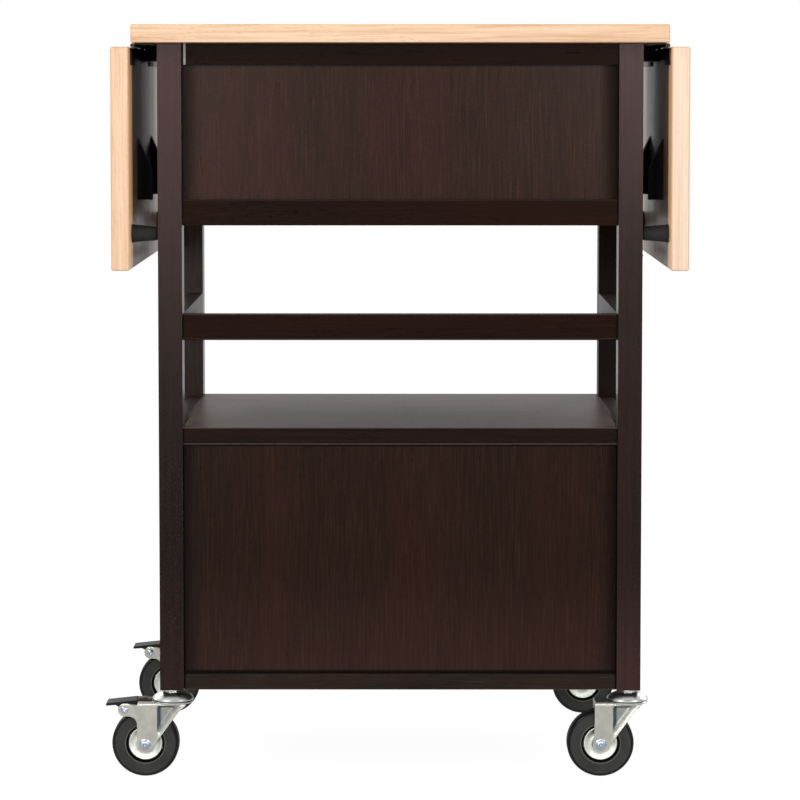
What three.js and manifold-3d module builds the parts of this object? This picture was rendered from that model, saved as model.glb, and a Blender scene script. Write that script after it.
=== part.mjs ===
// Drop leaf kitchen island on casters. Millimetres, +Z up.
// The origin is on the floor under the middle of the cabinet. The panelled back
// faces -Y, the drawer and the doors face +Y, and a leaf hangs at each end in X.

import * as THREE from 'three';
import { mergeVertices } from 'three/addons/utils/BufferGeometryUtils.js';
import Module from 'manifold-3d';

// ---- driving dimensions ---------------------------------------------------

const FIT = 0.3; // clearance between pieces that seat on or slide past each other

const FRAME = { width: 544, depth: 400 }; // over the outer faces of the posts
const TOP = { endOverhang: 28, sideOverhang: 20, thick: 20.5, edge: 2 }; // past those faces
const POST = { width: 27, depth: 34, length: 731 };

const RAIL_THICK = 18;
const RAIL_SET = 3; // how far a rail lies behind the post faces
const PANEL_THICK = 9;
const PANEL_SET = 6; // how far a back panel lies behind the post faces
const SIDE_PANEL_THICK = 12;

const TOP_RAIL_HEIGHT = 24;
const BOX_PANEL_HEIGHT = 151; // drawer opening, and the panel behind it
const LOW_RAIL_HEIGHT = 29;
const DECK_THICK = 9;

const MID_RAIL = { height: 28, bottom: 499 };
const MID_BOARD = { thick: 5, drop: 2.5, lipHeight: 14, lipDepth: 18, frontSet: 32 };

const CABINET_TOP = { height: 399, thick: 19 };
const CABINET_FLOOR = { lift: 0.5, thick: 18 }; // lift: from the posts' feet
const SIDE_RAIL_HEIGHT = 29; // rails worked on the cabinet's side panels

const DRAWER = { height: 124, wall: 12, floor: 6, side: 1.5, behind: 24.7 }; // behind: to the back panel
const FRONT_THICK = 18; // drawer front and doors
const REVEAL = 2; // gap round the drawer front and the doors
const DOOR_FRAME = { width: 45, recess: 6 };
const KNOB = { radius: 14, neck: 5, foot: 8, footHeight: 2, length: 19.5, inset: 24, drop: 60 };

const LEAF = { length: 250, gap: 1 };
const HINGE = { radius: 2.5, pin: 1.2, flap: 1.2, sides: 8 };
const LEAF_HINGE = { endInset: 22, knuckles: 9, flapWidth: 22, inset: 0.5 };
const DOOR_HINGE = { length: 45, knuckles: 3, flapWidth: 16, fromEnd: 50, sink: 0.3 };

const CLEAT = { width: 120, height: 19, clear: 5.8, sideGap: 2, relief: 3.3 }; // clear: under the hinge axis
const CATCH = { start: 106, ramp: 35, length: 70, height: 16, thick: 18, offset: 95 };
const BUMPER = { base: 10.5, tip: 7.5, drop: 211 };

const PROP = { inward: 22.5, drop: 90, reach: 100, leg: 3.5, bar: 4, barEnd: 30, spread: 70, sides: 8 };
const LUG = { radius: 8, thick: 8, gap: 6, sink: 1 };

const WHEEL = {
  radius: 38, width: 24, hub: 20, dish: 3.5, boss: 8.5, bossProud: 1.5, sides: 16,
  corner: [[7, 0], [2, 2.5], [0, 5.5]], // the tyre's, in from its tread and from its side
};
const CASTER_TRAIL = 31; // stem axis to axle
const STEM = { radius: 5, grip: 35, nut: 8, nutHeight: 3.4, sides: 12 };
const RACEWAY = { radius: 23.5, height: 9.5, rim: 2, brow: 5.5, crown: 14.5, crownDrop: 1.5 };
const KINGPIN = { radius: 4, head: 7.5, headHeight: 3.5 };
const FORK = {
  clear: 7.5, plate: 3, cheek: 2.5, cheekGap: 1, eye: 9, front: 7, race: 23, raceSides: 16,
  shoulder: [7, 11.5], heel: [15.5, 3.5], // past the stem's axis, and under the fork's top
};
const AXLE = { radius: 3.5, head: 6, headHeight: 3.5, sides: 8 };
const BRAKE = {
  ahead: 23, under: 9, tab: 7.5, notch: 9.5, rivet: 2.5, rivetProud: 1, sideGap: 1,
  tip: [-21.4, 7.1], heel: [14, 10.8], pedal: 2.8, neck: 6, // tip and heel from the rivet
};

// ---- places worked out from them -------------------------------------------

const HALF_W = FRAME.width / 2;
const HALF_D = FRAME.depth / 2;
const BAY_X = HALF_W - POST.width; // inner face of a post, in X
const BAY_Y = HALF_D - POST.depth; // inner face of a post, in Y
const STEM_X = HALF_W - POST.width / 2;
const STEM_Y = HALF_D - POST.depth / 2;
const TOP_WIDTH = FRAME.width + 2 * TOP.endOverhang;
const TOP_DEPTH = FRAME.depth + 2 * TOP.sideOverhang;

// The casters stack up from the floor to the foot of a post.
const FORK_TOP = 2 * WHEEL.radius + FORK.clear + FORK.plate;
const CASTER_HEIGHT = FORK_TOP + FIT + RACEWAY.height + STEM.nutHeight + FIT;
const FORK_CREST = FORK_TOP - WHEEL.radius; // the fork's top, above the axle
const CHEEK_IN = WHEEL.width / 2 + WHEEL.bossProud + FORK.cheekGap;
const BRAKE_PIVOT = [-BRAKE.ahead, FORK_CREST - BRAKE.under];

const POST_HEAD = CASTER_HEIGHT + POST.length;
const TOP_UNDER = POST_HEAD + FIT;
const PANEL_TOP = POST_HEAD - TOP_RAIL_HEIGHT;
const DECK_TOP = PANEL_TOP - BOX_PANEL_HEIGHT;
const BOX_BOTTOM = DECK_TOP - LOW_RAIL_HEIGHT;
const CABINET_CEILING = CABINET_TOP.height - CABINET_TOP.thick;
const FLOOR_UNDER = CASTER_HEIGHT + CABINET_FLOOR.lift;
const FLOOR_TOP = FLOOR_UNDER + CABINET_FLOOR.thick;

const RAIL_OUT = HALF_D - RAIL_SET;
const RAIL_IN = RAIL_OUT - RAIL_THICK;
const PANEL_OUT = HALF_D - PANEL_SET;
const SIDE_RAIL_OUT = BAY_X + RAIL_THICK;
const SIDE_PANEL_OUT = BAY_X + SIDE_PANEL_THICK;

const SEAT = HINGE.radius + FIT; // hinge axis to the face its flap is screwed to
const HINGE_X = TOP_WIDTH / 2 - LEAF_HINGE.inset;
const HINGE_Z = TOP_UNDER - SEAT;
const LEAF_IN = HINGE_X + SEAT;
const LEAF_TOP = HINGE_Z - LEAF_HINGE.inset - LEAF.gap;
const LEAF_HINGE_LENGTH = TOP_DEPTH - 2 * LEAF_HINGE.endInset;

const PROP_X = HINGE_X - PROP.inward;
const PROP_Z = HINGE_Z - PROP.drop;
// The prop's bar ends up under the raised leaf, at its reach from the hinge.
const PROP_ACROSS = PROP.reach + PROP.inward;
const PROP_RISE = PROP.drop + SEAT - PROP.bar - FIT;
const PROP_LENGTH = Math.hypot(PROP_ACROSS, PROP_RISE);
const LUG_Y = PROP.spread + LUG.gap + LUG.thick / 2;
const CLEAT_LOW = POST_HEAD - CLEAT.height;
const CLEAT_NOSE = HINGE_Z - CLEAT.clear;

const DOOR_AXIS_X = BAY_X - REVEAL / 2;
const DOOR_AXIS_Y = HALF_D + SEAT;

// ---- finishes --------------------------------------------------------------

const finish = (color, roughness, metalness) =>
  new THREE.MeshStandardMaterial({ color, roughness, metalness });
const naturalWood = finish(0xe3c08f, 0.5, 0);
const coffeeWood = finish(0x3b2622, 0.45, 0);
const drawerWood = finish(0xd8bd93, 0.6, 0);
const blackPlastic = finish(0x151515, 0.5, 0);
const rubber = finish(0x3a3a39, 0.7, 0);
const zinc = finish(0xbdbdb2, 0.35, 0.9);
const nickel = finish(0xb4b0a8, 0.3, 0.9);
const blackSteel = finish(0x262524, 0.45, 0.6);

// ---- shapes ----------------------------------------------------------------

const wasm = await Module();
wasm.setup();

const X = new THREE.Vector3(1, 0, 0);
const Y = new THREE.Vector3(0, 1, 0);
const Z = new THREE.Vector3(0, 0, 1);
const flip = (axis) => axis.clone().negate();
const basis = (x, y, z) => new THREE.Matrix4().makeBasis(x, y, z);

function welded(geometry) {
  // One vertex per corner, and no triangle that has shrunk to a line.
  const bare = geometry.clone();
  bare.deleteAttribute('normal');
  bare.deleteAttribute('uv');
  const merged = mergeVertices(bare, 1e-4);
  const corners = merged.index.array;
  const kept = [];
  for (let i = 0; i < corners.length; i += 3) {
    const [a, b, c] = [corners[i], corners[i + 1], corners[i + 2]];
    if (a !== b && b !== c && a !== c) kept.push(a, b, c);
  }
  merged.setIndex(kept);
  return merged;
}

function toSolid(geometry) {
  const source = welded(geometry);
  return new wasm.Manifold(new wasm.Mesh({
    numProp: 3,
    vertProperties: new Float32Array(source.attributes.position.array),
    triVerts: new Uint32Array(source.index.array),
  }));
}

function toGeometry(solid) {
  const mesh = solid.getMesh();
  const geometry = new THREE.BufferGeometry();
  geometry.setAttribute('position', new THREE.BufferAttribute(mesh.vertProperties, 3));
  geometry.setIndex(new THREE.BufferAttribute(mesh.triVerts, 1));
  return geometry;
}

function combine(joined, cut = []) {
  let solid = toSolid(joined[0]);
  for (const geometry of joined.slice(1)) solid = solid.add(toSolid(geometry));
  for (const geometry of cut) solid = solid.subtract(toSolid(geometry));
  return toGeometry(solid);
}

function box(x, y, z) {
  // Each argument is the [low, high] pair along that axis.
  const size = [x, y, z].map(([low, high]) => high - low);
  const middle = [x, y, z].map(([low, high]) => (low + high) / 2);
  return new THREE.BoxGeometry(...size).translate(...middle);
}

function rod(radius, low, high, sides) {
  // A round bar along Z.
  const bar = new THREE.CylinderGeometry(radius, radius, high - low, sides);
  return bar.rotateX(Math.PI / 2).translate(0, 0, (low + high) / 2);
}

function rodAlongY(radius, low, high, sides) {
  return rod(radius, low, high, sides).applyMatrix4(basis(Z, X, Y));
}

function clearBore(radius, sides) {
  // The radius of a bore of so many sides whose flats clear a round pin by FIT.
  return (radius + FIT) / Math.cos(Math.PI / sides);
}

function turned(profile, sides, phase = 0) {
  // A profile of [radius, height] points turned about Z.
  const points = profile.map(([radius, height]) => new THREE.Vector2(radius, height));
  return welded(new THREE.LatheGeometry(points, sides, phase).rotateX(Math.PI / 2));
}

function outline(points) {
  return new THREE.Shape(points.map(([a, b]) => new THREE.Vector2(a, b)));
}

function extruded(shape, length, curveSegments = 6) {
  const options = { depth: length, bevelEnabled: false, curveSegments };
  return new THREE.ExtrudeGeometry(shape, options).translate(0, 0, -length / 2);
}

// A shape drawn in X and Z, run along Y; and one drawn in Y and Z, run along X.
const alongY = (shape, length, curve) => extruded(shape, length, curve).applyMatrix4(basis(X, Z, flip(Y)));
const alongX = (shape, length, curve) => extruded(shape, length, curve).applyMatrix4(basis(Y, Z, X));

function easedBoard(width, depth, thick, ease) {
  // A flat board with a softened outline, its thickness along Z.
  const a = width / 2;
  const b = depth / 2;
  const shape = outline([[-a, -b], [a, -b], [a, b], [-a, b]]);
  const options = {
    depth: thick - 2 * ease, bevelThickness: ease, bevelSize: ease, bevelOffset: -ease, bevelSegments: 3,
  };
  return new THREE.ExtrudeGeometry(shape, options).translate(0, 0, ease - thick / 2);
}

const island = new THREE.Group();

function place(parent, name, geometry, material, x = 0, y = 0, z = 0) {
  const mesh = new THREE.Mesh(geometry, material);
  mesh.name = name;
  mesh.position.set(x, y, z);
  parent.add(mesh);
  return mesh;
}

function placeBoard(name, x, y, z, material = coffeeWood) {
  // A plain board given by its [low, high] pairs.
  const middle = [x, y, z].map(([low, high]) => (low + high) / 2);
  const size = [x, y, z].map(([low, high]) => high - low);
  return place(island, name, new THREE.BoxGeometry(...size), material, ...middle);
}

// ---- hinges ----------------------------------------------------------------

function hingeHalf({ length, knuckles, flapWidth, moving, reach = 0, notch = null }) {
  // Axis along Z through the origin; the flap runs out along +X and seats towards +Y.
  // reach is how far the flap's back goes past the knuckles, and notch = { half, depth }
  // cuts the middle of the flap away, leaving a strip of that depth by the knuckles.
  const pitch = length / knuckles;
  const back = HINGE.radius + reach;
  const front = HINGE.radius - HINGE.flap;
  const strip = HINGE.radius + 2 * FIT;
  const joined = [box([strip, flapWidth], [front, back], [-length / 2, length / 2])];
  const first = moving ? 1 : 0;
  for (let i = first; i < knuckles; i += 2) {
    const low = -length / 2 + i * pitch + FIT / 2;
    const high = low + pitch - FIT;
    joined.push(rod(HINGE.radius, low, high, HINGE.sides));
    joined.push(box([0, strip + FIT], [front, back], [low, high]));
  }
  const cut = [];
  if (moving) cut.push(rod(clearBore(HINGE.pin, HINGE.sides), -length, length, HINGE.sides));
  else joined.push(rod(HINGE.pin, -length / 2 + FIT / 2, length / 2 - FIT / 2, HINGE.sides));
  if (notch) cut.push(box([notch.depth, 2 * flapWidth], [0, 2 * back], [-notch.half, notch.half]));
  return combine(joined, cut);
}

// ---- frame -----------------------------------------------------------------

function buildPosts() {
  for (const [depthName, sy] of [['back', -1], ['front', 1]]) {
    for (const [sideName, sx] of [['left', -1], ['right', 1]]) {
      const [x, y] = [POST.width / 2, POST.depth / 2];
      const joined = [box([-x, x], [-y, y], [0, POST.length])];
      const bore = rod(clearBore(STEM.radius, STEM.sides), -FIT, STEM.grip + FIT, STEM.sides);
      if (sy > 0) {
        // The fixed halves of a door's two hinges are screwed to the post's front face.
        for (const z of doorHingeHeights()) {
          const half = hingeHalf({ ...DOOR_HINGE, moving: false, reach: FIT + DOOR_HINGE.sink });
          half.applyMatrix4(basis(X.clone().multiplyScalar(sx), flip(Y), Z.clone().multiplyScalar(-sx)));
          half.translate(sx * (DOOR_AXIS_X - STEM_X), DOOR_AXIS_Y - STEM_Y, z - CASTER_HEIGHT);
          joined.push(half);
        }
      }
      place(island, `post_${depthName}_${sideName}`, combine(joined, [bore]), coffeeWood,
        sx * STEM_X, sy * STEM_Y, CASTER_HEIGHT);
    }
  }
}

function buildTop() {
  const board = easedBoard(TOP_WIDTH, TOP_DEPTH, TOP.thick, TOP.edge);
  place(island, 'top_board', board, naturalWood, 0, 0, TOP_UNDER + TOP.thick / 2);
}

const BAY = [-(BAY_X - FIT), BAY_X - FIT]; // a board's ends, clear of the posts

function buildBack() {
  const rail = [-RAIL_OUT, -RAIL_IN];
  const panel = [-PANEL_OUT, -PANEL_OUT + PANEL_THICK];
  placeBoard('back_top_rail', BAY, rail, [PANEL_TOP, POST_HEAD]);
  placeBoard('back_upper_panel', BAY, panel, [DECK_TOP + FIT, PANEL_TOP - FIT]);
  placeBoard('back_lower_rail', BAY, rail, [BOX_BOTTOM, DECK_TOP]);
  placeBoard('cabinet_back_panel', BAY, panel, [FLOOR_TOP + FIT, CABINET_CEILING - FIT]);
}

function buildDrawerBay() {
  placeBoard('front_top_rail', BAY, [RAIL_IN, RAIL_OUT], [PANEL_TOP, POST_HEAD]);
  // The deck that the drawer runs on, with the front rail glued to its edge.
  const low = DECK_TOP - DECK_THICK;
  const deck = outline([
    [-RAIL_IN + FIT, low], [RAIL_IN, low], [RAIL_IN, BOX_BOTTOM], [RAIL_OUT, BOX_BOTTOM],
    [RAIL_OUT, DECK_TOP], [-RAIL_IN + FIT, DECK_TOP],
  ]);
  place(island, 'drawer_deck', alongX(deck, BAY[1] - BAY[0]), coffeeWood);
}

function buildMidShelf() {
  const { height, bottom } = MID_RAIL;
  placeBoard('mid_back_rail', BAY, [-RAIL_OUT, -RAIL_IN], [bottom, bottom + height]);
  for (const [sideName, sx] of [['left', -1], ['right', 1]]) {
    const x = [sx * BAY_X, sx * SIDE_RAIL_OUT].sort((a, b) => a - b);
    placeBoard(`mid_side_rail_${sideName}`, x, [-BAY_Y + FIT, BAY_Y - FIT], [bottom, bottom + height]);
  }
  // A thin board between the rails, with a thicker lip along its open front.
  const under = bottom - MID_BOARD.drop;
  const top = under + MID_BOARD.thick;
  const front = HALF_D - MID_BOARD.frontSet;
  const lip = front - MID_BOARD.lipDepth;
  const board = outline([
    [-RAIL_IN + FIT, under], [lip, under], [lip, top - MID_BOARD.lipHeight],
    [front, top - MID_BOARD.lipHeight], [front, top], [-RAIL_IN + FIT, top],
  ]);
  place(island, 'mid_shelf_board', alongX(board, BAY[1] - BAY[0]), coffeeWood);
}

function buildCabinet() {
  const depth = [-RAIL_OUT, RAIL_OUT];
  placeBoard('cabinet_top_board', BAY, depth, [CABINET_CEILING, CABINET_TOP.height]);
  placeBoard('cabinet_bottom_board', BAY, depth, [FLOOR_UNDER, FLOOR_TOP]);
}

function sidePanel(bottom, top, lowRail, highRail) {
  // A side panel seen from the back: flat inside, with a proud rail along each edge outside.
  return alongY(outline([
    [BAY_X, bottom], [SIDE_RAIL_OUT, bottom], [SIDE_RAIL_OUT, bottom + lowRail],
    [SIDE_PANEL_OUT, bottom + lowRail], [SIDE_PANEL_OUT, top - highRail],
    [SIDE_RAIL_OUT, top - highRail], [SIDE_RAIL_OUT, top], [BAY_X, top],
  ]), 2 * (BAY_Y - FIT));
}

// ---- drawer and doors ------------------------------------------------------

function knob() {
  // A turned knob standing on the XY plane.
  const { radius, neck, foot, footHeight, length } = KNOB;
  return turned([
    [0, 0], [foot, 0], [foot, footHeight], [neck, 2 * footHeight], [neck, 0.42 * length], [radius - 4, 0.5 * length],
    [radius - 0.6, 0.62 * length], [radius, 0.74 * length], [radius - 1.6, 0.9 * length],
    [radius - 6, 0.98 * length], [0, length],
  ], 12);
}

function placeKnob(name, x, z) {
  place(island, name, knob().applyMatrix4(basis(flip(X), Z, Y)), nickel, x, HALF_D + FIT, z);
}

function buildDrawer() {
  const face = HALF_D - FRONT_THICK;
  const half = BAY_X - REVEAL;
  placeBoard('drawer_front', [-half, half], [face, HALF_D], [DECK_TOP + REVEAL, PANEL_TOP - REVEAL]);
  placeKnob('drawer_knob', 0, (DECK_TOP + PANEL_TOP) / 2);

  const { wall, floor, height } = DRAWER;
  const front = face - FIT;
  const back = -PANEL_OUT + PANEL_THICK + DRAWER.behind;
  const x = BAY_X - DRAWER.side;
  const y = (front - back) / 2;
  const body = combine(
    [box([-x, x], [-y, y], [0, height])],
    [box([-x + wall, x - wall], [-y + wall, y - wall], [floor, height + wall])],
  );
  place(island, 'drawer_box', body, drawerWood, 0, front - y, DECK_TOP + FIT);
}

function doorHingeHeights() {
  const low = FLOOR_TOP + REVEAL + DOOR_HINGE.fromEnd;
  const high = CABINET_CEILING - REVEAL - DOOR_HINGE.fromEnd;
  return [low, high];
}

function buildDoors() {
  const width = BAY_X - REVEAL - REVEAL / 2;
  const low = FLOOR_TOP + REVEAL;
  const high = CABINET_CEILING - REVEAL;
  const { width: stile, recess } = DOOR_FRAME;
  for (const [sideName, sx] of [['left', -1], ['right', 1]]) {
    const centre = sx * (REVEAL / 2 + width / 2);
    const joined = [box([-width / 2, width / 2], [HALF_D - FRONT_THICK, HALF_D], [low, high])];
    const field = box([-width / 2 + stile, width / 2 - stile], [HALF_D - recess, HALF_D + recess],
      [low + stile, high - stile]);
    const door = [combine(joined, [field])];
    for (const z of doorHingeHeights()) {
      const half = hingeHalf({ ...DOOR_HINGE, moving: true, reach: FIT + DOOR_HINGE.sink });
      half.applyMatrix4(basis(X.clone().multiplyScalar(-sx), flip(Y), Z.clone().multiplyScalar(sx)));
      door.push(half.translate(sx * DOOR_AXIS_X - centre, DOOR_AXIS_Y, z));
    }
    place(island, `door_${sideName}`, combine(door), coffeeWood, centre, 0, 0);
    placeKnob(`door_knob_${sideName}`, sx * KNOB.inset, high - KNOB.drop);
  }
}

// ---- one end of the island: side panels, leaf, its hinge and its prop -------

function propBracket(y) {
  // A lug on the side panel that carries one end of the prop's pivot.
  const shape = new THREE.Shape();
  const root = SIDE_PANEL_OUT - LUG.sink;
  shape.moveTo(root, PROP_Z - LUG.radius);
  shape.lineTo(PROP_X, PROP_Z - LUG.radius);
  shape.absarc(PROP_X, PROP_Z, LUG.radius, -Math.PI / 2, Math.PI / 2, false);
  shape.lineTo(root, PROP_Z + LUG.radius);
  return alongY(shape, LUG.thick, 4).translate(0, y, 0);
}

function upperSidePanel() {
  const panel = sidePanel(BOX_BOTTOM, POST_HEAD, LOW_RAIL_HEIGHT, TOP_RAIL_HEIGHT);
  const reach = LUG_Y + LUG.thick;
  const radius = clearBore(PROP.leg, PROP.sides);
  const bore = rodAlongY(radius, -reach, reach, PROP.sides).translate(PROP_X, 0, PROP_Z);
  return combine([panel, propBracket(-LUG_Y), propBracket(LUG_Y)], [bore]);
}

function prop() {
  // A round-bar bail about its pivot: two pivot pins, two legs and a cross bar.
  const { leg, bar, spread, sides } = PROP;
  const barEnd = spread + PROP.barEnd;
  const pinEnd = LUG_Y + LUG.thick / 2 + FIT;
  const joined = [rodAlongY(bar, -barEnd, barEnd, sides).translate(0, 0, -PROP_LENGTH)];
  for (const sy of [-1, 1]) {
    joined.push(rod(leg, -PROP_LENGTH, leg, sides).translate(0, sy * spread, 0));
    const ends = [sy * (spread - leg), sy * pinEnd].sort((a, b) => a - b);
    joined.push(rodAlongY(leg, ends[0], ends[1], sides));
  }
  return combine(joined);
}

function cleat() {
  // The black block under the top that meets the leaf, relieved round the hinge.
  const clear = HINGE_X - CLEAT.relief;
  const flapEnd = HINGE_X - LEAF_HINGE.flapWidth - 2 * FIT;
  const underFlap = HINGE_Z + HINGE.radius - HINGE.flap - FIT;
  return alongY(outline([
    [SIDE_RAIL_OUT + FIT, CLEAT_LOW], [LEAF_IN - FIT, CLEAT_LOW], [LEAF_IN - FIT, CLEAT_NOSE],
    [clear, CLEAT_NOSE], [clear, underFlap], [flapEnd, underFlap],
    [flapEnd, POST_HEAD], [SIDE_RAIL_OUT + FIT, POST_HEAD],
  ]), CLEAT.width);
}

function leafCatch() {
  // A black wedge with its thick end towards the leaf's free edge; its back is at X = 0.
  const { ramp, length, height, thick } = CATCH;
  return alongY(outline([[0, 0], [0, -length], [-height, -length], [-height, -ramp]]), thick);
}

function bumper() {
  // A tapered rubber foot along -X, its base at X = 0, that rests against a post.
  const length = LEAF_IN - HALF_W - 2 * FIT;
  const foot = turned([
    [0, 0], [BUMPER.base, 0], [BUMPER.base, 2], [BUMPER.tip, length - 1.5], [BUMPER.tip - 1.5, length], [0, length],
  ], 10);
  return foot.applyMatrix4(basis(Y, flip(Z), flip(X)));
}

function buildEnd(sideName, turn) {
  // Everything is built at the +X end, and the whole end is turned about Z for the other.
  const end = new THREE.Group();
  end.rotation.z = turn;
  island.add(end);

  place(end, `side_upper_panel_${sideName}`, upperSidePanel(), coffeeWood);
  const lower = sidePanel(FLOOR_UNDER, CABINET_TOP.height, SIDE_RAIL_HEIGHT, SIDE_RAIL_HEIGHT);
  place(end, `cabinet_side_panel_${sideName}`, lower, coffeeWood);
  place(end, `hinge_cleat_${sideName}`, cleat(), blackPlastic);

  const hinge = { ...LEAF_HINGE, length: LEAF_HINGE_LENGTH };
  const fixed = hingeHalf({ ...hinge, moving: false }).applyMatrix4(basis(flip(X), Z, Y));
  place(end, `leaf_hinge_plate_${sideName}`, fixed, zinc, HINGE_X, 0, HINGE_Z);

  const leaf = new THREE.Group(); // about the hinge axis
  leaf.position.set(HINGE_X, 0, HINGE_Z);
  end.add(leaf);
  const notch = { half: CLEAT.width / 2 + CLEAT.sideGap, depth: CLEAT.clear - FIT };
  const flap = hingeHalf({ ...hinge, moving: true, notch }).applyMatrix4(basis(flip(Z), X, flip(Y)));
  place(leaf, `leaf_hinge_flap_${sideName}`, flap, zinc);
  const board = easedBoard(LEAF.length, TOP_DEPTH, TOP.thick, TOP.edge);
  board.applyMatrix4(basis(flip(Z), Y, X));
  const leafMiddle = LEAF_TOP - HINGE_Z - LEAF.length / 2;
  place(leaf, `leaf_${sideName}`, board, naturalWood, SEAT + TOP.thick / 2, 0, leafMiddle);
  for (const [endName, sy] of [['back', -1], ['front', 1]]) {
    // On the turned end, the back of the island is at +Y.
    const at = turn === 0 ? sy : -sy;
    place(leaf, `leaf_catch_${sideName}_${endName}`, leafCatch(), blackPlastic,
      SEAT - FIT, at * CATCH.offset, -CATCH.start);
    place(leaf, `leaf_bumper_${sideName}_${endName}`, bumper(), rubber, SEAT - FIT, at * STEM_Y, -BUMPER.drop);
  }

  const bail = new THREE.Group(); // about the prop's pivot
  bail.position.set(PROP_X, 0, PROP_Z);
  end.add(bail);
  place(bail, `leaf_prop_${sideName}`, prop(), blackSteel);
}

// ---- casters ---------------------------------------------------------------

function casterStem() {
  // Threaded stem, nut, upper raceway and kingpin, all turned about the swivel axis.
  const under = FORK_TOP + FIT;
  const dome = under + RACEWAY.height;
  const headTop = FORK_TOP - FORK.plate - FIT;
  const headLow = headTop - KINGPIN.headHeight;
  return turned([
    [0, headLow], [KINGPIN.head - 2, headLow], [KINGPIN.head, headLow + 1.5], [KINGPIN.head, headTop],
    [KINGPIN.radius, headTop], [KINGPIN.radius, under],
    [RACEWAY.radius - 1, under], [RACEWAY.radius, under + RACEWAY.rim],
    [RACEWAY.radius - 3, under + RACEWAY.brow], [RACEWAY.crown, dome - RACEWAY.crownDrop], [STEM.nut, dome],
    [STEM.nut, CASTER_HEIGHT - FIT], [STEM.radius, CASTER_HEIGHT - FIT],
    [STEM.radius, CASTER_HEIGHT + STEM.grip - 1], [STEM.radius - 1, CASTER_HEIGHT + STEM.grip],
    [0, CASTER_HEIGHT + STEM.grip],
  ], STEM.sides);
}

function cheekShape(braked) {
  // One cheek of the fork, about the axle: u runs towards the stem and w runs up.
  const { eye } = FORK;
  const [shoulder, heel] = [FORK.shoulder, FORK.heel].map(([past, under]) => (
    [CASTER_TRAIL + past, FORK_CREST - under]
  ));
  const front = braked ? eye : FORK.front;
  const reach = Math.hypot(...shoulder);
  const tangent = Math.atan2(shoulder[1], shoulder[0]) - Math.acos(eye / reach);
  const shape = new THREE.Shape();
  shape.moveTo(-front, FORK_CREST);
  if (braked) {
    // The tab that carries the brake lever, with a round notch under it.
    const [u, w] = BRAKE_PIVOT;
    const { notch, tab } = BRAKE;
    const under = w - tab;
    shape.lineTo(u, w + tab);
    shape.absarc(u, w, tab, Math.PI / 2, 1.5 * Math.PI, false);
    shape.lineTo(-front - notch, under);
    shape.absarc(-front - notch, under - notch, notch, Math.PI / 2, 0, true);
  }
  shape.absarc(0, 0, eye, Math.acos(front / eye) - Math.PI, tangent, false);
  shape.lineTo(...shoulder);
  shape.lineTo(...heel);
  shape.lineTo(heel[0], FORK_CREST);
  return shape;
}

function casterFork(braked) {
  // Pressed steel fork with its axle bolt and, where braked, the lever's rivet.
  const outer = CHEEK_IN + FORK.cheek;
  const stem = [CASTER_TRAIL, 0, -WHEEL.radius];
  const plate = [FORK_TOP - FORK.plate, FORK_TOP];
  const joined = [
    box([-FORK.front, CASTER_TRAIL], [-outer, outer], plate.map((z) => z - WHEEL.radius)),
    rod(FORK.race, plate[0], plate[1], FORK.raceSides).translate(...stem),
  ];
  const head = [outer, outer + AXLE.headHeight];
  joined.push(rodAlongY(AXLE.radius, -head[1], head[1], AXLE.sides));
  for (const sy of [-1, 1]) {
    const shape = cheekShape(braked);
    joined.push(alongY(shape, FORK.cheek, 3).translate(0, sy * (CHEEK_IN + outer) / 2, 0));
    const [low, high] = [sy * head[0], sy * head[1]].sort((a, b) => a - b);
    joined.push(rodAlongY(AXLE.head, low, high, AXLE.sides));
  }
  if (braked) {
    const end = outer + BRAKE.rivetProud;
    joined.push(rodAlongY(BRAKE.rivet, -end, end, AXLE.sides).translate(BRAKE_PIVOT[0], 0, BRAKE_PIVOT[1]));
  }
  const bore = rod(clearBore(KINGPIN.radius, STEM.sides), plate[0] - FIT, plate[1] + FIT, STEM.sides);
  return combine(joined, [bore.translate(...stem)]);
}

function casterWheel() {
  // Rubber tyre on a pressed hub, turned about the axle. A flat of the tread meets the floor.
  const { width, hub, dish, boss, sides } = WHEEL;
  const tread = WHEEL.radius / Math.cos(Math.PI / sides);
  const side = width / 2;
  const face = side + WHEEL.bossProud;
  const right = [
    [clearBore(AXLE.radius, sides), face], [boss, face], [boss + 1, side - dish], [hub, side - dish],
    [hub + 2, side - 0.5], ...WHEEL.corner.map(([r, h]) => [tread - r, side - h]),
  ];
  const left = right.map(([r, h]) => [r, -h]);
  const profile = [...left, ...right.reverse(), left[0]];
  return turned(profile, sides, Math.PI / sides).applyMatrix4(basis(Z, X, Y));
}

function brakeLever() {
  // A pedal with a neck down to its rivet, drawn about the rivet.
  const { tip, heel } = BRAKE;
  const shape = new THREE.Shape();
  shape.moveTo(...tip);
  shape.lineTo(tip[0], tip[1] - BRAKE.pedal);
  shape.lineTo(tip[0] / 2, tip[1] - BRAKE.pedal + 1);
  shape.absarc(0, 0, BRAKE.neck, Math.PI, 2 * Math.PI, false);
  shape.lineTo(heel[0], heel[1] - BRAKE.pedal + 1);
  shape.lineTo(...heel);
  const hole = new THREE.Path();
  const curve = 5; // so the hole has twice as many sides
  hole.absarc(0, 0, clearBore(BRAKE.rivet, 2 * curve), 0, 2 * Math.PI, true);
  shape.holes.push(hole);
  return alongY(shape, 2 * (CHEEK_IN - BRAKE.sideGap), curve);
}

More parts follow.
